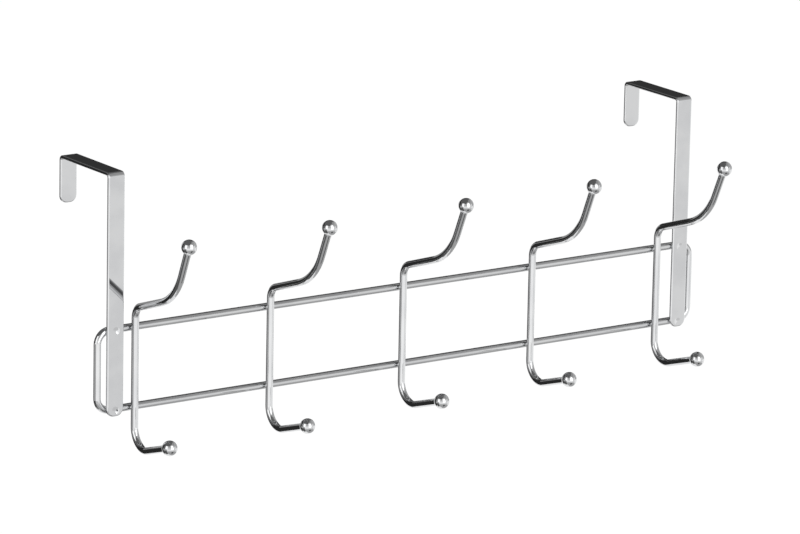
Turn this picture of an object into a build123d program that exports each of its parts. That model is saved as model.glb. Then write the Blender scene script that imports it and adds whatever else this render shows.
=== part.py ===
"""Over door hook rack: a loop of wire with five double hooks, hung from a door's top edge by two bent straps.

Frame: X runs along the rack, +Y goes into the door, +Z is up.  The origin is the middle of the door's top
front edge: the backs of the rails touch the door's face at Y = 0, and the straps' spans rest on the door's
top at Z = 0.  All sizes are in millimetres.
"""

from build123d import *

import os
from math import isclose, radians, tan

# Stock that the rack is made from
WIRE_D = 4.0  # round wire of the loop and of the hooks
STRAP_W = 10.0
STRAP_T = 1.8
BALL_D = 8.2

# Straps and the door that they hang on
DOOR_GAP = 41.5  # from the door's face to the inner face of the lips
LIP_DROP = 24.0  # how far the lips reach down behind the door
STRAP_TAIL = 3.0  # strap left below the lower rail's axis
STRAP_BEND_R = 0.8  # inside of the two bends
STRAP_END_R = 4.0  # corners of the strap's two ends
STRAP_EDGE_R = 0.8  # rolled edges all round the strap

# Loop of wire
UPPER_RAIL_DROP = 82.0  # upper rail's axis below the door's top edge
RAIL_SPACING = 42.5  # from the upper rail's axis to the lower rail's
FRAME_CORNER_R = 7.0  # along the wire's axis
FRAME_OVERHANG = 5.75  # from a strap's outer edge to the end of the loop

# Row of hooks: one entry for each hook, as it was welded
HOOK_TURNS = (-2.8, -0.5, 0.7, -0.8, 2.0)  # degrees about its own upright, positive swings its front to +X
HOOK_SLIPS = (-1.2, -1.4, 0.1, 0.5, 0.1)  # how far it slid up its rails
HOOK_SHIFTS = (1.1, 0.0, 0.0, 0.0, 0.0)  # how far it slid along its rails to +X
HOOK_PITCH = 84.0
STRAP_GAP_LEFT = 3.5  # clear gap from the first hook's wire to the strap beside it
STRAP_GAP_RIGHT = 9.0  # the same at the last hook

# Upper arm of a hook, measured from the upright's axis and the upper rail's axis
UPPER_REACH = 55.0  # out to the ball's centre
UPPER_RISE = 56.4  # up to the ball's centre
ARM_HEIGHT = 12.3  # up to the corner where the arm's line leaves the upright
ARM_SLOPE = 18.5  # degrees above level
TIP_SLOPE = 66.5  # degrees above level
ARM_BEND_R = 7.5
TIP_BEND_R = 34.0

# Lower arm of a hook, measured from the upright's axis and the lower rail's axis
LOWER_REACH = 37.2  # out to the ball's centre
LOWER_DROP = 10.9  # down to the ball's centre
LOWER_SLOPE = 17.5  # degrees above level
LOWER_BEND_R = 10.5

BALL_CLEARANCE = 0.05  # around the wire in a ball's bore

# Places worked out from the sizes above
wire_r = WIRE_D / 2
rail_y = -wire_r
upper_rail_z = -UPPER_RAIL_DROP
lower_rail_z = upper_rail_z - RAIL_SPACING
strap_back_y = -WIRE_D
upright_y = rail_y - WIRE_D
hook_count = len(HOOK_TURNS)
hook_row = (hook_count - 1) * HOOK_PITCH
strap_spacing = hook_row + STRAP_GAP_LEFT + STRAP_GAP_RIGHT + WIRE_D + STRAP_W
frame_length = strap_spacing + STRAP_W + 2 * FRAME_OVERHANG
first_hook_x = -strap_spacing / 2 + STRAP_W / 2 + STRAP_GAP_LEFT + wire_r
strap_end_r = min(STRAP_END_R, 0.49 * STRAP_W)  # at most just short of a half round
strap_edge_r = min(STRAP_EDGE_R, 0.49 * STRAP_T)


def wire_along(path):
    """Round wire swept along the path of its axis."""
    section = Plane(origin=path @ 0, z_dir=path % 0) * Circle(wire_r)
    return sweep(section, path=path)


def make_wire_frame():
    """Closed loop of wire, flat against the door, with four rounded corners."""
    middle = Plane(origin=(0, rail_y, upper_rail_z - RAIL_SPACING / 2), x_dir=(1, 0, 0), z_dir=(0, -1, 0))
    loop = middle * RectangleRounded(frame_length - WIRE_D, RAIL_SPACING, FRAME_CORNER_R)
    return wire_along(loop.wire())


def is_rim(edge):
    """Whether a strap's edge runs along its outline, not straight across it or through its thickness."""
    if edge.geom_type != GeomType.LINE:
        return True
    crossing = STRAP_W if abs((edge % 0).X) > 0.5 else STRAP_T
    return not isclose(edge.length, crossing, rel_tol=1e-3)


def make_strap():
    """Flat strap bent over the door: leg in front, span on top, lip behind.  Ends and edges are rounded."""
    half = STRAP_T / 2
    leg_end = lower_rail_z - STRAP_TAIL
    path = FilletPolyline(
        (0, strap_back_y - half, leg_end),
        (0, strap_back_y - half, half),
        (0, DOOR_GAP + half, half),
        (0, DOOR_GAP + half, -LIP_DROP),
        radius=STRAP_BEND_R + half,
    )
    section = Plane(origin=path @ 0, x_dir=(1, 0, 0), z_dir=path % 0) * Rectangle(STRAP_W, STRAP_T)
    strap = sweep(section, path=path)
    end_corners = [edge for edge in strap.edges().filter_by(Axis.Y) if edge.center().Z < -LIP_DROP / 2]
    blank = fillet(end_corners, strap_end_r)
    return fillet(blank.edges().filter_by(is_rim), strap_edge_r)


def hook_points():
    """Corners of a hook's path from its upper ball to its lower ball, as (x, y, z) about its own upright."""
    arm_rise = tan(radians(ARM_SLOPE))
    tip_rise = tan(radians(TIP_SLOPE))
    corner_reach = (tip_rise * UPPER_REACH - UPPER_RISE + ARM_HEIGHT) / (tip_rise - arm_rise)
    corner_rise = ARM_HEIGHT + arm_rise * corner_reach
    lower_corner = lower_rail_z - LOWER_DROP - LOWER_REACH * tan(radians(LOWER_SLOPE))
    return [
        (0, -UPPER_REACH, upper_rail_z + UPPER_RISE),
        (0, -corner_reach, upper_rail_z + corner_rise),
        (0, 0, upper_rail_z + ARM_HEIGHT),
        (0, 0, lower_corner),
        (0, -LOWER_REACH, lower_rail_z - LOWER_DROP),
    ]


def hook_path():
    """Axis of a hook's wire: straight runs joined by bends, from ball centre to ball centre."""
    return FilletPolyline(*hook_points(), radius=[TIP_BEND_R, ARM_BEND_R, LOWER_BEND_R])


def make_ball(centre, inward):
    """Ball on a wire's end: the wire runs in its bore and ends on the bore's floor, at the ball's centre."""
    bore = Plane(origin=centre, z_dir=inward) * Circle(wire_r + BALL_CLEARANCE)
    return Pos(*centre) * Sphere(BALL_D / 2) - extrude(bore, BALL_D)


def make_parts():
    """Every piece of the rack in its place, by name."""
    parts = {"wire_frame": make_wire_frame()}
    for side, name in ((-1, "left_strap"), (1, "right_strap")):
        parts[name] = Pos(side * strap_spacing / 2, 0, 0) * make_strap()

    path = hook_path()
    wire = wire_along(path)
    upper_ball = make_ball(path @ 0, path % 0)
    lower_ball = make_ball(path @ 1, -(path % 1))
    for number, (turn, slip, shift) in enumerate(zip(HOOK_TURNS, HOOK_SLIPS, HOOK_SHIFTS), start=1):
        hook_x = first_hook_x + (number - 1) * HOOK_PITCH + shift
        place = Pos(hook_x, upright_y, slip) * Rot(0, 0, turn)
        parts[f"hook_{number}"] = place * wire
        parts[f"upper_ball_{number}"] = place * upper_ball
        parts[f"lower_ball_{number}"] = place * lower_ball
    return parts


os.makedirs("parts", exist_ok=True)
for name, part in make_parts().items():
    export_step(part, f"parts/{name}.step")
    size = part.bounding_box().size
    print(f"{name}: {size.X:.1f} x {size.Y:.1f} x {size.Z:.1f} mm, {part.volume:.0f} cubic mm")
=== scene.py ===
# %% [markdown]
# Over door hook rack in chrome.
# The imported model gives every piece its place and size. This lesson dresses it: each wire, strap and ball
# is made again as a smooth surface on the same lines, because a polished mirror shows every facet of a
# coarse mesh.

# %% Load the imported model
from math import atan2, cos, pi, radians, sin, tan

import bmesh
import bpy
import numpy as np
from mathutils import Matrix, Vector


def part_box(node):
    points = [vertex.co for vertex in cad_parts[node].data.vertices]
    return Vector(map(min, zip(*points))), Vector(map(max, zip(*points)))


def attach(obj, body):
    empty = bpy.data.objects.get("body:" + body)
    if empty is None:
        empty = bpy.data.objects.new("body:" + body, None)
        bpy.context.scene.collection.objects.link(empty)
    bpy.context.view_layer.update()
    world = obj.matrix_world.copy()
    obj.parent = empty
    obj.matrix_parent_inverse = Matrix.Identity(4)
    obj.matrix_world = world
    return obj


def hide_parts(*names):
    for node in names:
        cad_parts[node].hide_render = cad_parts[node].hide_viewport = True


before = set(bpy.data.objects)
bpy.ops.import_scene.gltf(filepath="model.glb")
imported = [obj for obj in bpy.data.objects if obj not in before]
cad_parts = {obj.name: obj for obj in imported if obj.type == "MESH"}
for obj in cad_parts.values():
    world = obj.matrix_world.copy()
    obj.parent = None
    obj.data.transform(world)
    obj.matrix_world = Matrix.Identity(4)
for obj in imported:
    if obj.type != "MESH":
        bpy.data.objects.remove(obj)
bpy.context.view_layer.update()
MM = 0.001  # every length in the scene is in metres

# %% [markdown]
# The camera comes first, so that every later picture can be laid over the photograph.
# A long lens far away keeps the two straps almost parallel, as they are in the photograph. Three turns in
# a row would aim the camera too, but their order is easily mistaken. So its axes are worked out from the
# three angles and set as a matrix.

# %% Camera at the photograph's viewing angle
PHOTO_WIDTH = 800  # pixels
FOCAL_LENGTH = 5728.0  # in pixels of the photograph
VIEW_TURN = radians(34.6)  # seen from the left of straight ahead
VIEW_DROP = radians(14.17)  # looking down
VIEW_ROLL = radians(1.16)
EDGE_IN_VIEW = np.array([2.2, 69.87, 3023.9]) * MM  # door edge's middle: right, up and away from the eye


def put_at(thing, right, up, back, place):
    """Stands a camera or lamp at a place: the columns of its matrix are its three axes and the place."""
    matrix = np.eye(4)
    matrix[:3] = np.stack([right, up, back, place], axis=1)
    thing.matrix_world = Matrix(matrix.tolist())
    bpy.context.scene.collection.objects.link(thing)


forward = np.array([sin(VIEW_TURN) * cos(VIEW_DROP), cos(VIEW_TURN) * cos(VIEW_DROP), -sin(VIEW_DROP)])
level_right = np.array([cos(VIEW_TURN), -sin(VIEW_TURN), 0.0])
level_up = np.cross(level_right, forward)
view_right = cos(VIEW_ROLL) * level_right + sin(VIEW_ROLL) * level_up
view_up = cos(VIEW_ROLL) * level_up - sin(VIEW_ROLL) * level_right
eye = -np.stack([view_right, view_up, forward], axis=1) @ EDGE_IN_VIEW

camera_data = bpy.data.cameras.new("photo_camera")
camera_data.lens = FOCAL_LENGTH / PHOTO_WIDTH * camera_data.sensor_width
camera = bpy.data.objects.new("photo_camera", camera_data)
put_at(camera, view_right, view_up, -forward, eye)
bpy.context.scene.camera = camera
print("camera at", eye.round(3), "lens", round(camera_data.lens, 1), "mm")

# %% [markdown]
# Every piece here is a grid of points: one direction runs along the piece and the other runs round it.
# One helper turns such a grid into a mesh, so that the shapes themselves stay short formulas. It also
# merges the points that meet at a pole or a seam, and turns the faces outwards.

# %% Quads of a grid
def quad_corners(rows, columns, rows_closed, columns_closed):
    """Rows and columns of every quad's corners: one quad between each point and its next neighbours."""
    row = np.arange(rows if rows_closed else rows - 1)
    column = np.arange(columns if columns_closed else columns - 1)
    row, column = (index.ravel() for index in np.meshgrid(row, column, indexing="ij"))
    corner_rows = np.stack([row, row, row + 1, row + 1], axis=1)
    corner_columns = np.stack([column, column + 1, column + 1, column], axis=1)
    return corner_rows, corner_columns


def link_mesh(name, points, quads):
    """New object at the origin, made of points and quads."""
    mesh = bpy.data.meshes.new(name)
    mesh.from_pydata(points.tolist(), [], quads.tolist())
    thing = bpy.data.objects.new(name, mesh)
    bpy.context.scene.collection.objects.link(thing)
    return thing


print("a tube of 3 rings of 4 points has", len(quad_corners(3, 4, False, True)[0]), "quads")

# %% From a grid of points to a closed piece
MERGE_GAP = 1e-8


def enclosed_volume(points, quads):
    """Volume inside closed quads: the sum of a . (b x c) / 6 over the two triangles of each quad."""
    a, b, c, d = (points[quads[:, corner]] for corner in range(4))
    first = np.einsum("ij,ij->i", a, np.cross(b, c))
    second = np.einsum("ij,ij->i", a, np.cross(c, d))
    return (first + second).sum() / 6


def add_surface(name, grid, along, around, rows_closed=False, columns_closed=True):
    """Smooth mesh from grid[row, column]; along and around are lengths in metres that become the UV map.

    A closed direction joins its last line of points to its first, so its list of lengths has one value more.
    """
    rows, columns = grid.shape[:2]
    points = grid.reshape(-1, 3)
    corner_rows, corner_columns = quad_corners(rows, columns, rows_closed, columns_closed)
    quads = corner_rows % rows * columns + corner_columns % columns
    volume = enclosed_volume(points, quads)
    if volume < 0:
        quads, corner_rows, corner_columns = (rim[:, ::-1] for rim in (quads, corner_rows, corner_columns))
    piece = link_mesh(name, points, quads)
    mesh = piece.data
    mesh.polygons.foreach_set("use_smooth", np.ones(len(quads), dtype=bool))
    uv = np.stack([along[corner_rows], around[corner_columns]], axis=-1)
    mesh.uv_layers.new(name="lengths").data.foreach_set("uv", uv.ravel())
    closed = bmesh.new()
    closed.from_mesh(mesh)
    bmesh.ops.remove_doubles(closed, verts=closed.verts[:], dist=MERGE_GAP)
    open_edges = sum(not edge.is_manifold for edge in closed.edges)
    closed.to_mesh(mesh)
    closed.free()
    cubic_mm = abs(volume) / MM**3
    print(f"{name}: {len(mesh.polygons)} faces, {cubic_mm:.1f} cubic mm, {open_edges} open edges")
    return piece


print(f"points closer than {MERGE_GAP / MM:g} mm become one")

# %% [markdown]
# The loop and the hooks are bent from straight wire, so their centre lines are straight runs joined by arcs.
# A curve object with a bevel could follow them, but a curve's handles only come near to a true arc. Here
# each arc is worked out from its corner and its bend radius, as the bending tool makes it.

# %% Centre line of a bent wire or strap
BEND_STEP = radians(2.5)
END_HOLD = 0.2 * MM  # a second point this close to each end keeps the shading of the run behind it straight


def turned(direction, angle):
    """Two-component direction turned anticlockwise by one angle or by a whole row of angles."""
    across = np.array([-direction[1], direction[0]])
    return np.multiply.outer(np.cos(angle), direction) + np.multiply.outer(np.sin(angle), across)


def bend_at(before, corner, after, radius):
    """Points and tangents of the arc that rounds a corner.

    The arc starts and ends radius * tan(turn / 2) from the corner.
    """
    arriving = (corner - before) / np.linalg.norm(corner - before)
    leaving = (after - corner) / np.linalg.norm(after - corner)
    turn = atan2(arriving[0] * leaving[1] - arriving[1] * leaving[0], arriving @ leaving)
    angle = np.linspace(0.0, turn, int(abs(turn) / BEND_STEP) + 2)
    outwards = turned(arriving, -np.sign(turn) * pi / 2) * radius
    start = corner - arriving * radius * tan(abs(turn) / 2)
    return start - outwards + turned(outwards, angle), turned(arriving, angle)


def bent_line(corners, radii, closed=False):
    """Straight runs and arcs through flat corners: points, tangents and the distance run to each point."""
    corners = np.array(corners)
    last = len(corners) - 1
    inner = range(len(corners)) if closed else range(1, last)
    after = np.roll(corners, -1, axis=0)
    bends = [bend_at(corners[i - 1], corners[i], after[i], radius) for i, radius in zip(inner, radii)]
    points = [bend[0] for bend in bends]
    tangents = [bend[1] for bend in bends]
    if not closed:
        start, end = tangents[0][:1], tangents[-1][-1:]
        first_end, last_end = corners[:1], corners[last:]
        points = [first_end, first_end + END_HOLD * start, *points, last_end - END_HOLD * end, last_end]
        tangents = [start, start, *tangents, end, end]
    points = np.concatenate(points)
    tangents = np.concatenate(tangents)
    steps = np.diff(points, axis=0, append=points[:1] if closed else points[:0])
    run = np.concatenate([[0.0], np.cumsum(np.hypot(steps[:, 0], steps[:, 1]))])
    return points, tangents, run


print(f"bends have a point at least every {np.degrees(BEND_STEP):.1f} degrees")

# %% [markdown]
# Round wire is a circle carried along its centre line. The line lies in one plane, so the plane's own
# normal serves as one axis of the circle all the way along, and the tube never twists.

# %% Round wire along a line
WIRE_R = 2.0 * MM
WIRE_SIDES = 56


def wire_rings(line, tangents, side, radius):
    """Each point is centre + radius * (cos a * side + sin a * (tangent x side)), with a going once round."""
    angle = np.linspace(0.0, 2 * pi, WIRE_SIDES, endpoint=False)[None, :, None]
    lift = np.cross(tangents, side)[:, None, :]
    radius = np.broadcast_to(radius, len(line))[:, None, None]
    return line[:, None, :] + radius * (np.cos(angle) * side + np.sin(angle) * lift)


wire_girth = np.linspace(0.0, 2 * pi * WIRE_R, WIRE_SIDES + 1)
print(f"wire {2 * WIRE_R / MM:.2f} mm thick, {WIRE_SIDES} sides")

# %% [markdown]
# The loop is one length of wire bent to a long rectangle, and its two long sides are the rails.
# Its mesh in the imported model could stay, but the corners show their facets. So it is swept again: its
# box gives the wire's centre line, half a wire in from each side.

# %% Loop of wire
FRAME_CORNER_R = 7.0 * MM  # along the wire's centre line
INTO_DOOR = np.array([0.0, 1.0, 0.0])  # the loop lies square to this
ROOT = "root"

loop_low, loop_high = (np.array(corner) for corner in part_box("wire_frame"))
rail_y = (loop_low[1] + loop_high[1]) / 2
left_x, right_x = loop_low[0] + WIRE_R, loop_high[0] - WIRE_R
lower_rail_z, upper_rail_z = loop_low[2] + WIRE_R, loop_high[2] - WIRE_R
lower_corners = [(left_x, lower_rail_z), (right_x, lower_rail_z)]
upper_corners = [(right_x, upper_rail_z), (left_x, upper_rail_z)]
loop_corners = lower_corners + upper_corners
loop_radii = [FRAME_CORNER_R] * len(loop_corners)
loop_flat, loop_heading, loop_run = bent_line(loop_corners, loop_radii, closed=True)


def stand_up(flat, depth):
    """Flat (x, z) values as points or directions in space, at one depth y."""
    return np.stack([flat[:, 0], np.full(len(flat), depth), flat[:, 1]], axis=1)


loop_rings = wire_rings(stand_up(loop_flat, rail_y), stand_up(loop_heading, 0.0), INTO_DOOR, WIRE_R)
loop = add_surface("chrome_loop", loop_rings, loop_run, wire_girth, rows_closed=True)
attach(loop, ROOT)
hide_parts("wire_frame")

# %% [markdown]
# Each hook is one wire: an upright, a long arm that sweeps forward and up, and a short arm at the bottom.
# The two balls of a hook stand in line with its upright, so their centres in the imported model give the
# hook's place and the small turn that it was welded with. The rest is the bending list of the wire.

# %% Bending list of a hook
BALL_R = 4.1 * MM
UPPER_REACH = 55.0 * MM  # from the upright's axis out to the upper ball
LOWER_REACH = 37.2 * MM
ARM_BELOW_BALL = 44.1 * MM  # from the upper ball down to the corner where the arm leaves the upright
ARM_SLOPE = radians(18.5)
TIP_SLOPE = radians(66.5)
LOWER_SLOPE = radians(17.5)
HOOK_BEND_RADII = (34.0 * MM, 7.5 * MM, 10.5 * MM)  # at the tip, at the arm and at the bottom


def ball_centre(node):
    """Centre of a ball: one radius in from the front and the top of its box, which no bore cuts."""
    low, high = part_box(node)
    return np.array([(low[0] + high[0]) / 2, low[1] + BALL_R, high[2] - BALL_R])


def hook_corners(upper_z, lower_z):
    """Corners of a hook as (reach, height): the arm's line and the tip's line meet at one height."""
    foot_z = upper_z - ARM_BELOW_BALL
    reach = (tan(TIP_SLOPE) * UPPER_REACH - ARM_BELOW_BALL) / (tan(TIP_SLOPE) - tan(ARM_SLOPE))
    bottom_z = lower_z - LOWER_REACH * tan(LOWER_SLOPE)
    return [
        (UPPER_REACH, upper_z),
        (reach, foot_z + reach * tan(ARM_SLOPE)),
        (0.0, foot_z),
        (0.0, bottom_z),
        (LOWER_REACH, lower_z),
    ]


print(f"hooks reach {UPPER_REACH / MM:.1f} mm out at the top and {LOWER_REACH / MM:.1f} mm at the bottom")

# %% Five hooks
HOOK_COUNT = 5
LEVEL = np.array([1.0, 1.0, 0.0])  # keeps a point's x and y and drops its height
UP = np.array([0.0, 0.0, 1.0])

hooks = []
uprights = []
ball_axes = {}
for number in range(1, HOOK_COUNT + 1):
    upper_node, lower_node = f"upper_ball_{number}", f"lower_ball_{number}"
    upper_ball, lower_ball = ball_centre(upper_node), ball_centre(lower_node)
    out = (upper_ball - lower_ball) * LEVEL / (UPPER_REACH - LOWER_REACH)
    upright = upper_ball * LEVEL - UPPER_REACH * out
    in_plane = np.stack([out, UP])
    flat, heading, run = bent_line(hook_corners(upper_ball[2], lower_ball[2]), HOOK_BEND_RADII)
    line, tangents = upright + flat @ in_plane, heading @ in_plane
    ends_twice = np.r_[0, 0:len(line), len(line) - 1]  # the outer ring at each end shrinks to a point
    radius = np.r_[0.0, np.full(len(line), WIRE_R), 0.0]
    rings = wire_rings(line[ends_twice], tangents[ends_twice], np.cross(*in_plane), radius)
    hook = add_surface(f"chrome_hook_{number}", rings, run[ends_twice], wire_girth)
    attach(hook, ROOT)
    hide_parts(f"hook_{number}")
    hooks.append(hook)
    uprights.append(upright)
    ball_axes[upper_node] = (upper_ball, tangents[0])
    ball_axes[lower_node] = (lower_ball, -tangents[-1])
    turn = np.degrees(atan2(out[0], -out[1]))
    print(f"hook {number}: upright at {upright / MM} mm, turned {turn:.2f} degrees")

# %% [markdown]
# A ball closes each wire end, so that nothing hung on the hook gets torn.
# A ready-made sphere would have no neck. The real ball is turned on a lathe, and here too: a half outline
# is spun round the wire's axis. The outline starts at the far pole, runs over the ball, turns through the
# small hollow where plating has gathered round the wire, and goes back down the bore that the wire stands
# in.

# %% Outline of a ball
BALL_ROWS = 56
NECK_ROWS = 8
NECK_R = 0.35 * MM  # hollow between ball and wire
NECK_BITE = 0.02 * MM  # how far the hollow's edge sinks into the wire
BORE_GAP = 0.05 * MM


def ball_outline():
    """Half outline as (radius, place along the axis).

    On the ball these are BALL_R * (sin a, cos a), with a falling from the far pole to the neck. The neck
    is an arc that touches ball and wire alike, so its centre is one neck radius away from both.
    """
    neck_radius, neck_distance = WIRE_R + NECK_R, BALL_R + NECK_R
    neck_angle = np.arcsin(neck_radius / neck_distance)
    neck_place = neck_distance * cos(neck_angle)
    polar = np.linspace(pi, neck_angle, BALL_ROWS)
    ball_arc = BALL_R * np.stack([np.sin(polar), np.cos(polar)], axis=1)
    hollow = np.linspace(neck_angle, pi / 2, NECK_ROWS)[1:]
    neck = np.array([neck_radius, neck_place]) - NECK_R * np.stack([np.sin(hollow), np.cos(hollow)], axis=1)
    bore_r = WIRE_R + BORE_GAP
    bore = [(WIRE_R - NECK_BITE, neck_place), (bore_r, neck_place - NECK_R), (bore_r, 0.0), (0.0, 0.0)]
    return np.concatenate([ball_arc, neck, bore])


outline = ball_outline()
outline_run = np.r_[0.0, np.cumsum(np.hypot(*np.diff(outline, axis=0).T))]
print(f"ball outline: {len(outline)} points, {outline_run[-1] / MM:.1f} mm long")

# %% Ten balls
BALL_SIDES = 72


def spun(outline, centre, axis):
    """Outline spun round an axis: centre + place * axis + radius * (cos a * first + sin a * second)."""
    first = np.cross(axis, [1.0, 0.0, 0.0])
    first /= np.linalg.norm(first)
    second = np.cross(axis, first)
    angle = np.linspace(0.0, 2 * pi, BALL_SIDES, endpoint=False)[None, :, None]
    spokes = np.cos(angle) * first + np.sin(angle) * second
    return centre + outline[:, 1, None, None] * axis + outline[:, 0, None, None] * spokes


ball_girth = np.linspace(0.0, 2 * pi * BALL_R, BALL_SIDES + 1)
balls = []
for node, (centre, axis) in ball_axes.items():
    ball_grid = spun(outline, centre, axis).swapaxes(0, 1)
    ball = add_surface(
        f"chrome_{node}", ball_grid, ball_girth, outline_run, rows_closed=True, columns_closed=False
    )
    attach(ball, ROOT)
    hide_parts(node)
    balls.append(ball)

# %% [markdown]
# The straps are cut from flat strip, tumbled so that no edge is sharp, spot-welded to the rails and bent
# over the door. A box with a Bevel modifier would give the edges but not the round ends. So the flat
# blank is made first: lines at growing distances inside its outline, up over the edge on one face and
# back on the other. Bending comes last, when every point of the blank is carried onto the bent centre
# line.

# %% Outline of a strap's flat blank
STRAP_END_R = 4.0 * MM
CORNER_LINES = 12
END_POINTS = 5  # across the straight stretch of an end


def blank_outline(length, half_width, lengthwise):
    """Closed outline, split into the corner centres it is drawn round and its outward directions.

    A point of the outline is centre + end radius * direction. Along the sides and the ends the centre slides.
    """
    near, far, side = STRAP_END_R, length - STRAP_END_R, half_width - STRAP_END_R
    quarter = np.linspace(0.0, pi / 2, CORNER_LINES, endpoint=False)[1:]
    across = np.linspace(side, -side, END_POINTS)
    centres = []
    directions = []
    for sign, end in ((1, far), (-1, near)):
        along_side = lengthwise[::sign]
        centres.append(np.stack([along_side, np.full(len(along_side), sign * side)], axis=1))
        directions.append(np.tile([0.0, sign], (len(along_side), 1)))
        arc = np.stack([np.sin(quarter), np.cos(quarter)], axis=1) * sign
        centres.append(np.tile([end, sign * side], (len(arc), 1)))
        directions.append(arc)
        centres.append(np.stack([np.full(len(across), end), sign * across], axis=1))
        directions.append(np.tile([sign, 0.0], (len(across), 1)))
        arc = np.stack([np.cos(quarter), -np.sin(quarter)], axis=1) * sign
        centres.append(np.tile([end, -sign * side], (len(arc), 1)))
        directions.append(arc)
    return np.concatenate(centres), np.concatenate(directions)


print(f"blank with end corners of {STRAP_END_R / MM:.1f} mm, {CORNER_LINES} lines round each")

# %% Faces and rolled edges of the blank
STRAP_T = 1.8 * MM
STRAP_EDGE_R = 0.8 * MM
FACE_LINES = 24
EDGE_LINES = 10
EDGE_HOLD = 0.04 * MM  # a line this close to the edge keeps the face beside it flat


def inset_lines(half_width):
    """Distances inside the outline and heights, from the back's middle round the edge to the front's."""
    half = STRAP_T / 2
    face = np.linspace(half_width, STRAP_EDGE_R, FACE_LINES)
    quarter = np.linspace(0.0, pi / 2, EDGE_LINES)
    edge_inset = STRAP_EDGE_R * (1 - np.sin(quarter[1:]))
    edge_height = half - STRAP_EDGE_R * (1 - np.cos(quarter[1:]))
    inset = np.r_[face[:-1], STRAP_EDGE_R + EDGE_HOLD, face[-1], edge_inset]
    height = np.r_[np.full(len(face) + 1, half), edge_height]
    return np.r_[inset, inset[::-1]], np.r_[-height, height[::-1]]


def blank_points(length, half_width, lengthwise):
    """Grid of (place along, place across, height): the outline shrunk by each inset, corners to points."""
    centres, directions = blank_outline(length, half_width, lengthwise)
    inset, height = inset_lines(half_width)
    corner_r = np.maximum(STRAP_END_R - inset, 0.0)[:, None]
    inset = inset[:, None]
    along = np.clip(centres[:, 0], inset, length - inset) + corner_r * directions[:, 0]
    across = np.clip(centres[:, 1], inset - half_width, half_width - inset) + corner_r * directions[:, 1]
    return along, across, np.broadcast_to(height[:, None], along.shape)


print(f"blank {STRAP_T / MM:.1f} mm thick, {2 * (FACE_LINES + EDGE_LINES)} lines over its faces and edge")

# %% [markdown]
# Where a rail crosses behind a strap, the welding electrode has left a small dish in the strap's front.
# It is a real dent in the mesh, not a painted one, because a mirror finish bends every reflection that
# crosses it.

# %% Dishes and the lines that carry them
DISH_R = 2.0 * MM
DISH_DEPTH = 0.24 * MM
DISH_SPAN = 3.6 * MM  # how far the finer mesh reaches from the dish's middle
DISH_STEP = 0.2 * MM
PLAIN_STEP = 4.0 * MM
LENGTH_DIGITS = 7  # places that agree to this many digits, in metres, are one place


def dish(distance):
    """Depth of an electrode's mark: a bell-shaped dish with a low raised rim round it."""
    ratio = (distance / DISH_R) ** 2
    return DISH_DEPTH * (1 - ratio) * np.exp(-ratio)


def side_places(length, bends, marks):
    """Places along a blank's sides: plain steps, every point of the bends, and fine steps round the marks."""
    fine = np.arange(-DISH_SPAN, DISH_SPAN, DISH_STEP)
    plain = np.arange(STRAP_END_R, length - STRAP_END_R, PLAIN_STEP)
    places = np.r_[plain, bends, marks[0] + fine, marks[1] + fine, length - STRAP_END_R]
    places = np.unique(places.round(LENGTH_DIGITS))
    return places[(places >= STRAP_END_R) & (places <= length - STRAP_END_R)]


print(f"dishes {DISH_DEPTH / MM:.2f} mm deep")

# %% Two bent straps
STRAP_BEND_R = 0.8 * MM  # inside of the bends
LIP_DROP = 24.0 * MM  # the lip's end below the door's top
SIDES = ("left", "right")


def strap_points(node):
    """Strap's blank, dished at the rails and carried onto the bent line, with its length and half width."""
    low, high = (np.array(corner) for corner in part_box(node))
    half_width = (high[0] - low[0]) / 2
    leg_y, lip_y, top_z = low[1] + STRAP_T / 2, high[1] - STRAP_T / 2, high[2] - STRAP_T / 2
    corners = [(leg_y, low[2]), (leg_y, top_z), (lip_y, top_z), (lip_y, -LIP_DROP)]
    bend_r = STRAP_BEND_R + STRAP_T / 2
    line, heading, run = bent_line(corners, [bend_r, bend_r])
    length = run[-1]
    marks = [lower_rail_z - low[2], upper_rail_z - low[2]]
    along, across, height = blank_points(length, half_width, side_places(length, run[1:-1], marks))
    front = np.clip(height / STRAP_T + 0.5, 0.0, 1.0)  # 0 on the back and 1 on the front
    height = height - front * sum(dish(np.hypot(along - mark, across)) for mark in marks)
    place = [np.interp(along, run, line[:, axis]) for axis in range(2)]
    course = [np.interp(along, run, heading[:, axis]) for axis in range(2)]
    middle_x = (low[0] + high[0]) / 2
    points = [middle_x + across, place[0] - height * course[1], place[1] + height * course[0]]
    return np.stack(points, axis=-1), length, half_width


straps = []
for side in SIDES:
    points, length, half_width = strap_points(f"{side}_strap")
    rim_run = np.linspace(0.0, 2 * length, points.shape[1] + 1)
    face_run = np.linspace(0.0, 2 * half_width, points.shape[0])
    strap_grid = points.swapaxes(0, 1)
    strap = add_surface(
        f"chrome_{side}_strap", strap_grid, rim_run, face_run, rows_closed=True, columns_closed=False
    )
    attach(strap, ROOT)
    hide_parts(f"{side}_strap")
    straps.append(strap)
    print(f"{side} strap: blank {length / MM:.1f} mm long")

# %% [markdown]
# Hooks and rails are resistance-welded: they melt where they touch, and a little metal is squeezed out.
# What shows is a tiny waisted collar between the two wires. A ready-made ring would leave gaps at the
# round wires, so it is worked out from the two surfaces themselves: each point lies part of the way from
# the front wire to the back one, and the collar meets both.

# %% Collar of a weld
COLLAR_WAIST_R = 1.2 * MM
COLLAR_FOOT_R = 1.65 * MM
COLLAR_SIDES = 40
COLLAR_ROWS = 13
COLLAR_SINK = 0.05 * MM  # how deep the collar's feet sink into both pieces
COLLAR_CORE = 0.6 * MM  # how deep the collar's closed ends lie inside the wires


def wire_fall(offset):
    """How far a round wire's surface has fallen away at an offset from its nearest line."""
    return WIRE_R - np.sqrt(WIRE_R**2 - offset**2)


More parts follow.
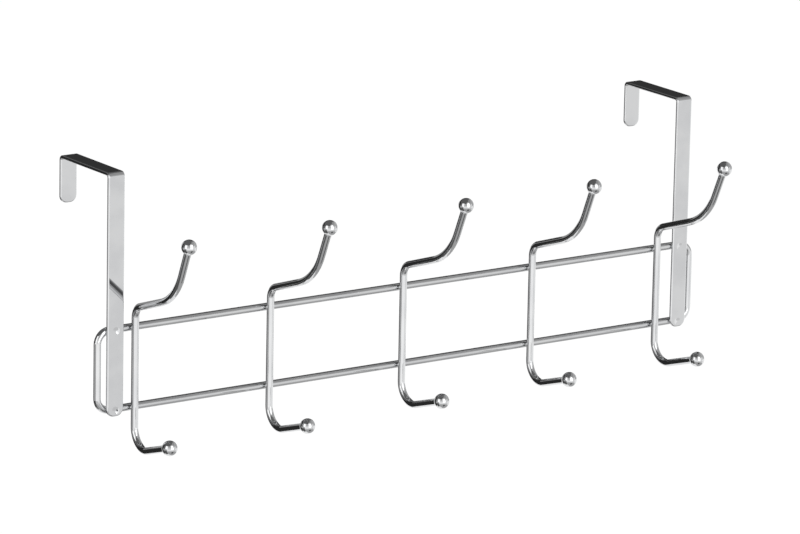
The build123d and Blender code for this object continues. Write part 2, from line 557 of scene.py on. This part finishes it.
def weld_collar(contact, front_is_wire):
    """Collar round a contact point: radius = waist + (foot - waist) * w^2, with w from -1 to 1.

    The depth runs from the front piece's surface, at -1, to the rail's, at 1. The front piece is an upright
    wire or a flat strap.
    """
    place = np.linspace(-1.0, 1.0, COLLAR_ROWS)[:, None]
    angle = np.linspace(0.0, 2 * pi, COLLAR_SIDES, endpoint=False)[None, :]
    radius = COLLAR_WAIST_R + (COLLAR_FOOT_R - COLLAR_WAIST_R) * place**2
    across, up = radius * np.cos(angle), radius * np.sin(angle)
    front = -wire_fall(across) if front_is_wire else np.zeros(across.shape)
    back = wire_fall(up)
    depth = front + (0.5 + 0.5 * place) * (back - front) + COLLAR_SINK * place
    grid = np.stack([across, depth, up], axis=-1)
    core = np.zeros((1, COLLAR_SIDES, 3))
    core[..., 1] = COLLAR_CORE
    return contact + np.concatenate([-core, grid, core])


print(f"weld collars {2 * COLLAR_WAIST_R / MM:.1f} mm across at the waist")

# %% Fourteen welds
collar_girth = np.linspace(0.0, 2 * pi * COLLAR_WAIST_R, COLLAR_SIDES + 1)
collar_run = np.linspace(0.0, 2 * COLLAR_FOOT_R, COLLAR_ROWS + 2)
rails = {"upper": upper_rail_z, "lower": lower_rail_z}
fronts = [(f"hook_{number}", upright[0], True) for number, upright in enumerate(uprights, start=1)]
for strap_name in ("left_strap", "right_strap"):
    low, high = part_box(strap_name)
    fronts.append((strap_name, (low[0] + high[0]) / 2, False))
welds = []
for front_name, front_x, front_is_wire in fronts:
    for rail_name, rail_z in rails.items():
        contact = np.array([front_x, rail_y - WIRE_R, rail_z])
        collar = weld_collar(contact, front_is_wire)
        weld = add_surface(f"{front_name}_{rail_name}_weld", collar, collar_run, collar_girth)
        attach(weld, ROOT)
        welds.append(weld)

# %% [markdown]
# All of it is plated together: nickel, then a thin bright coat of chrome. Close up it isn't quite even.
# It is a little warmer and cooler in clouds, a little hazier here and there, and the marks of drawing or
# rolling still show through it as faint lines. Four materials share these effects. They could each repeat
# the nodes, but one node group keeps them alike, and each material asks for its own amounts.

# %% What goes into the plating group and what comes out
PLATING_INPUTS = {
    "Light Tone": ("NodeSocketColor", (0.66, 0.665, 0.67, 1.0)),
    "Deep Tone": ("NodeSocketColor", (0.6, 0.605, 0.615, 1.0)),
    "Cloud Scale": ("NodeSocketFloat", 45.0),
    "Clear Haze": ("NodeSocketFloat", 0.04),
    "Dull Haze": ("NodeSocketFloat", 0.09),
    "Line Scale": ("NodeSocketFloat", 5000.0),
    "Line Depth": ("NodeSocketFloat", 0.2),
    "Ripple Scale": ("NodeSocketFloat", 400.0),
}
PLATING_OUTPUTS = {"Tone": "NodeSocketColor", "Haze": "NodeSocketFloat", "Relief": "NodeSocketFloat"}

plating = bpy.data.node_groups.new("chrome_plating", "ShaderNodeTree")
for socket_name, (kind, value) in PLATING_INPUTS.items():
    socket = plating.interface.new_socket(name=socket_name, in_out="INPUT", socket_type=kind)
    socket.default_value = value
for socket_name, kind in PLATING_OUTPUTS.items():
    plating.interface.new_socket(name=socket_name, in_out="OUTPUT", socket_type=kind)
print("plating group:", len(PLATING_INPUTS), "inputs and", len(PLATING_OUTPUTS), "outputs")

# %% Helpers for nodes
def feed(tree, node, sources):
    """Links other nodes' outputs to a node's inputs, which are given by name or by number."""
    for socket, source in sources.items():
        tree.links.new(source, node.inputs[socket])


def set_values(node, values):
    """Sets a node's own input values, by name or by number."""
    for socket, value in values.items():
        node.inputs[socket].default_value = value


def add_node(tree, kind, sources=None, values=None, **settings):
    """New node with its settings, its links and its own values."""
    node = tree.nodes.new(kind)
    for setting, value in settings.items():
        setattr(node, setting, value)
    feed(tree, node, sources or {})
    set_values(node, values or {})
    return node


def add_math(tree, operation, first, second):
    """Sum, product or the like of two outputs."""
    return add_node(tree, "ShaderNodeMath", {0: first, 1: second}, operation=operation).outputs[0]


given = add_node(plating, "NodeGroupInput").outputs
print("the group's nodes can ask for", ", ".join(PLATING_INPUTS))

# %% Plating effects as a node group
CLOUD_DETAIL = 3.0
CLOUD_RANGE = {"From Min": 0.35, "From Max": 0.7}  # noise below is clear and bright, above dull and deep
RIPPLE_DETAIL = 1.0
LINE_DETAIL = 2.0
LINE_STRETCH = (0.004, 1.0, 1.0)  # draws the pattern out along a piece, to 250 times its size across


def add_noise(place, scale, detail):
    """Noise at a place, as fine as one of the group's inputs says."""
    sources = {"Vector": place, "Scale": given[scale]}
    return add_node(plating, "ShaderNodeTexNoise", sources, {"Detail": detail}).outputs["Fac"]


where = add_node(plating, "ShaderNodeTexCoord").outputs
ripple = add_noise(where["Object"], "Ripple Scale", RIPPLE_DETAIL)
clouds = {"Value": add_noise(where["Object"], "Cloud Scale", CLOUD_DETAIL)}
patchy = add_node(plating, "ShaderNodeMapRange", clouds, CLOUD_RANGE, interpolation_type="SMOOTHSTEP")
patches = patchy.outputs["Result"]
stretched = add_node(plating, "ShaderNodeMapping", {"Vector": where["UV"]}, {"Scale": LINE_STRETCH})
lines = add_noise(stretched.outputs["Vector"], "Line Scale", LINE_DETAIL)
line_part = add_math(plating, "MULTIPLY", lines, given["Line Depth"])
tones = {"Factor": patches, "A": given["Light Tone"], "B": given["Deep Tone"]}
tone = add_node(plating, "ShaderNodeMix", tones, data_type="RGBA").outputs["Result"]
dullness = add_math(plating, "ADD", patches, line_part)
hazes = {"Value": dullness, "To Min": given["Clear Haze"], "To Max": given["Dull Haze"]}
haze = add_node(plating, "ShaderNodeMapRange", hazes).outputs["Result"]
relief = add_math(plating, "ADD", ripple, line_part)
add_node(plating, "NodeGroupOutput", {"Tone": tone, "Haze": haze, "Relief": relief})
print("plating group:", len(plating.nodes), "nodes")

# %% [markdown]
# The four finishes differ in what the metal went through before plating. Drawn wire keeps faint lines
# along its length, rolled strip is flatter but wavier, and turned balls are polished brightest. Weld
# metal is left a little dull.

# %% Chrome on wire, strap, ball and weld
FINISHES = {
    "chrome_on_wire": {"bump": 0.03, "Line Depth": 0.3},
    "chrome_on_strap": {
        "bump": 0.02,
        "Clear Haze": 0.02,
        "Dull Haze": 0.05,
        "Cloud Scale": 60.0,
        "Ripple Scale": 150.0,
        "Line Depth": 0.15,
    },
    "chrome_on_ball": {"bump": 0.01, "Clear Haze": 0.025, "Dull Haze": 0.05, "Line Depth": 0.1},
    "chrome_on_weld": {"bump": 0.25, "Clear Haze": 0.12, "Dull Haze": 0.3, "Ripple Scale": 1500.0},
}
BUMP_DISTANCE = 0.05 * MM


def chrome(name, bump, **amounts):
    """Polished metal whose tone, haze and relief come from the plating group."""
    material = bpy.data.materials.new(name)
    material.use_nodes = True
    tree = material.node_tree
    shader = tree.nodes["Principled BSDF"]
    shader.inputs["Metallic"].default_value = 1.0
    finish = add_node(tree, "ShaderNodeGroup", values=amounts, node_tree=plating).outputs
    amount = {"Strength": bump, "Distance": BUMP_DISTANCE}
    rough = add_node(tree, "ShaderNodeBump", {"Height": finish["Relief"]}, amount).outputs
    feed(tree, shader, {"Base Color": finish["Tone"], "Roughness": finish["Haze"], "Normal": rough["Normal"]})
    return material


plated = {
    "chrome_on_wire": [loop, *hooks],
    "chrome_on_strap": straps,
    "chrome_on_ball": balls,
    "chrome_on_weld": welds,
}
finishes = {name: chrome(name, **amounts) for name, amounts in FINISHES.items()}
for finish_name, pieces in plated.items():
    for piece in pieces:
        piece.data.materials.append(finishes[finish_name])
    print(finish_name, "on", len(pieces), "pieces")

# %% [markdown]
# Chrome has no colour of its own: it shows the room. So the room matters as much as the rack.
# The floor and the background come first. The rack hangs high on its door, so the floor is far below.
# More lamps would make it white, but they would bleach the rack too. Instead it is pale and has a little
# glow of its own, which the camera and the metal see and which puts no light on the rack.

# %% White floor
FLOOR_DROP = 1.9  # floor below the door's top edge
FLOOR_R = 14.0
FLOOR_SIDES = 72
FLOOR_TONE = 0.8
FLOOR_GLOW = 0.59
WHITE = (1.0, 1.0, 1.0, 1.0)


def seen_directly(tree):
    """1 for rays from the camera, off polished metal or through glass, 0 for light that falls on things."""
    path = add_node(tree, "ShaderNodeLightPath").outputs
    camera_or_metal = add_math(tree, "MAXIMUM", path["Is Camera Ray"], path["Is Glossy Ray"])
    return add_math(tree, "MAXIMUM", camera_or_metal, path["Is Transmission Ray"])


def floor_disc():
    """Flat disc: (radius sin t, -radius cos t, -drop), with the turn t going once round from the back."""
    turn = np.linspace(-pi, pi, FLOOR_SIDES + 1)
    radius = np.array([[0.0], [FLOOR_R]])
    across, away = radius * np.sin(turn), -radius * np.cos(turn)
    return np.stack([across, away, np.full(across.shape, -FLOOR_DROP)], axis=-1)


def add_stage(name, grid, material):
    """Sheet of the studio, which is not part of the object."""
    rows, columns = grid.shape[:2]
    corner_rows, corner_columns = quad_corners(rows, columns, False, False)
    sheet = link_mesh(name, grid.reshape(-1, 3), corner_rows * columns + corner_columns)
    sheet.data.materials.append(material)
    return sheet


pale = bpy.data.materials.new("pale_floor")
pale.use_nodes = True
pale_tree = pale.node_tree
pale_shader = pale_tree.nodes["Principled BSDF"]
set_values(pale_shader, {"Base Color": (FLOOR_TONE, FLOOR_TONE, FLOOR_TONE, 1.0), "Roughness": 1.0})
set_values(pale_shader, {"Specular IOR Level": 0.0, "Emission Color": WHITE})
seen = {0: seen_directly(pale_tree)}
glow = add_node(pale_tree, "ShaderNodeMath", seen, {1: FLOOR_GLOW}, operation="MULTIPLY")
feed(pale_tree, pale_shader, {"Emission Strength": glow.outputs[0]})
add_stage("floor", floor_disc(), pale)
print("floor", FLOOR_DROP, "m below the door's edge")

# %% White background
SKY_FILL = 0.5  # strength of the light that falls on things
SKY_SEEN = 1.0  # strength that the camera and the metal see, which is white

world = bpy.data.worlds.new("studio")
bpy.context.scene.world = world
world.use_nodes = True
sky_tree = world.node_tree
sky = sky_tree.nodes["Background"]
seen = {"Value": seen_directly(sky_tree)}
brightness = add_node(sky_tree, "ShaderNodeMapRange", seen, {"To Min": SKY_FILL, "To Max": SKY_SEEN})
sky.inputs["Color"].default_value = WHITE
feed(sky_tree, sky, {"Strength": brightness.outputs["Result"]})
print("background", SKY_SEEN, "where it is seen and", SKY_FILL, "as light")

# %% [markdown]
# Two big soft boxes light the front, one on each side of the camera. They could be placed by eye in
# metres, but the photograph's balls show them as a fish-eye would, so they are placed by the directions
# that they fill. They stand far off, and all five hooks show them alike.

# %% Soft boxes
# A box has a brightness, degrees round from straight in front, and degrees up from level.
BOXES = {
    "right_box": {"level": 1.55, "turns": (-17.0, 25.0), "rises": (-8.0, 44.0)},
    "left_box": {"level": 1.1, "turns": (-98.0, -62.0), "rises": (-8.0, 38.0)},
}
BOX_DISTANCE = 6.0
QUARTER_TURN = 90.0  # degrees
MIDDLE = np.array([0.0, -0.02, -0.07])
POWER_FOR_LEVEL = 4.0  # watts for each square metre of a box that looks as bright as white paper


def towards(turn, rise):
    """Direction seen from the rack: (cos e sin t, -cos e cos t, sin e), turns t and rises e in degrees."""
    turn, rise = np.radians(turn), np.radians(rise)
    parts = [np.cos(rise) * np.sin(turn), -np.cos(rise) * np.cos(turn), np.sin(rise)]
    return np.stack(np.broadcast_arrays(*parts), axis=-1)


def box_side(angles):
    """Length of a box's side that fills the angle between two directions: 2 * distance * tan(angle / 2)."""
    return 2 * BOX_DISTANCE * tan(radians(angles[1] - angles[0]) / 2)


def add_box(name, level, turns, rises):
    """Rectangular soft box that faces the rack."""
    middle_turn = sum(turns) / 2
    away = towards(middle_turn, sum(rises) / 2)
    across = towards(middle_turn + QUARTER_TURN, 0.0)
    lamp = bpy.data.lights.new(name, "AREA")
    lamp.shape = "RECTANGLE"
    lamp.size = box_side(turns)
    lamp.size_y = box_side(rises)
    lamp.energy = POWER_FOR_LEVEL * level * lamp.size * lamp.size_y
    box = bpy.data.objects.new(name, lamp)
    put_at(box, across, np.cross(away, across), away, MIDDLE + BOX_DISTANCE * away)
    box.visible_camera = False
    print(f"{name}: {lamp.size:.2f} x {lamp.size_y:.2f} m, level {level}")


for name, box in BOXES.items():
    add_box(name, **box)

# %% [markdown]
# In an all-white room chrome would look like white paint. A photographer darkens the room and stands
# white, grey and black cards round the rack, until every bend has a light and a dark side. Flat cards
# would do as well, but patches of a sphere round the rack are placed by directions alone, like the soft
# boxes. Only the metal sees them, and between them it sees the dark room above and the white floor below.

# %% How a card is made
CARD_STEP = 3.0  # degrees
BLACK = (0.0, 0.0, 0.0, 1.0)


def card_material(name, level):
    """Matt card that shows one even brightness whatever light falls on it."""
    material = bpy.data.materials.new(name)
    material.use_nodes = True
    shader = material.node_tree.nodes["Principled BSDF"]
    set_values(shader, {"Base Color": BLACK, "Specular IOR Level": 0.0})
    set_values(shader, {"Emission Color": WHITE, "Emission Strength": level})
    return material


def sphere_patch(radius, turns, rises):
    """Patch of a sphere round the rack: middle + radius * direction, for a grid of turns and rises."""
    turn = np.linspace(*turns, int((turns[1] - turns[0]) / CARD_STEP) + 2)
    rise = np.linspace(*rises, int((rises[1] - rises[0]) / CARD_STEP) + 2)
    return MIDDLE + radius * towards(turn[None, :], rise[:, None])


def add_card(name, grid, level):
    """Card that polished metal alone sees: no camera sees it, and it keeps no light from the floor."""
    card = add_stage(name, grid, card_material(name, level))
    card.visible_camera = False
    card.visible_diffuse = False
    card.visible_shadow = False
    card.visible_transmission = False
    card.visible_volume_scatter = False
    print(f"{name}: {len(card.data.polygons)} faces, level {level}")


print(f"cards have a point at least every {CARD_STEP} degrees")

# %% Cards that only the metal sees
# A card has a brightness and directions, as a soft box has. A later card hangs in front of an earlier one.
CARDS = {
    "white_front": {"level": 1.25, "turns": (-72.0, 22.0), "rises": (-22.0, -8.0)},
    "grey_front": {"level": 0.8, "turns": (-75.0, 66.0), "rises": (-36.0, -22.0)},
    "grey_under": {"level": 0.5, "turns": (-75.0, 125.0), "rises": (-90.0, -36.0)},
    "dark_under": {"level": 0.12, "turns": (-6.0, 32.0), "rises": (-66.0, -40.0)},
    "grey_gap": {"level": 0.6, "turns": (-62.0, -17.0), "rises": (-8.0, 38.0)},
    "pale_gap": {"level": 0.95, "turns": (-62.0, -17.0), "rises": (-8.0, 12.0)},
    "grey_left": {"level": 0.5, "turns": (-130.0, -72.0), "rises": (-22.0, -5.0)},
    "dark_left": {"level": 0.12, "turns": (-130.0, -75.0), "rises": (-66.0, -22.0)},
    "black_left": {"level": 0.03, "turns": (-168.0, -130.0), "rises": (-48.0, 30.0)},
    "pale_right": {"level": 0.95, "turns": (22.0, 68.0), "rises": (-22.0, 20.0)},
    "white_side": {"level": 1.15, "turns": (48.0, 112.0), "rises": (-22.0, -8.0)},
    "grey_right": {"level": 0.52, "turns": (25.0, 68.0), "rises": (20.0, 40.0)},
    "grey_side": {"level": 0.55, "turns": (68.0, 125.0), "rises": (-5.0, 40.0)},
    "grey_high": {"level": 0.7, "turns": (-17.0, 25.0), "rises": (44.0, 58.0)},
    "dim_high": {"level": 0.4, "turns": (25.0, 105.0), "rises": (40.0, 66.0)},
    "black_back": {"level": 0.04, "turns": (125.0, 158.0), "rises": (5.0, 40.0)},
    "dim_back": {"level": 0.34, "turns": (158.0, 200.0), "rises": (-5.0, 12.0)},
    "black_high": {"level": 0.03, "turns": (165.0, 200.0), "rises": (12.0, 32.0)},
    "white_back": {"level": 1.0, "turns": (140.0, 162.0), "rises": (-6.0, 6.0)},
}
CARD_R = 1.8
CARD_GAP = 0.01
ROOM_R = 10.0
ROOM_LEVEL = 0.15
ROOM_TURNS = (-180.0, 180.0)
ROOM_RISES = (-4.0, 90.0)

add_card("dark_room", sphere_patch(ROOM_R, ROOM_TURNS, ROOM_RISES), ROOM_LEVEL)
for number, (name, card) in enumerate(CARDS.items()):
    patch = sphere_patch(CARD_R - CARD_GAP * number, card["turns"], card["rises"])
    add_card(name, patch, card["level"])

# %% [markdown]
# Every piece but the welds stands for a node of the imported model, so its box has to be that node's box.
# The last cell measures this before it hands the scene over.

# %% Finish
bpy.context.scene.view_settings.view_transform = "Standard"
bpy.context.view_layer.update()
stand_ins = {"wire_frame": loop}
stand_ins |= {f"hook_{number}": hook for number, hook in enumerate(hooks, start=1)}
stand_ins |= {f"{side}_strap": strap for side, strap in zip(SIDES, straps)}
stand_ins |= dict(zip(ball_axes, balls))
for node, piece in stand_ins.items():
    made = np.array(piece.bound_box)
    low, high = (np.array(corner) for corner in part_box(node))
    gap = max(abs(made.min(axis=0) - low).max(), abs(made.max(axis=0) - high).max()) / MM
    print(f"{piece.name}: box within {gap:.3f} mm of {node}")
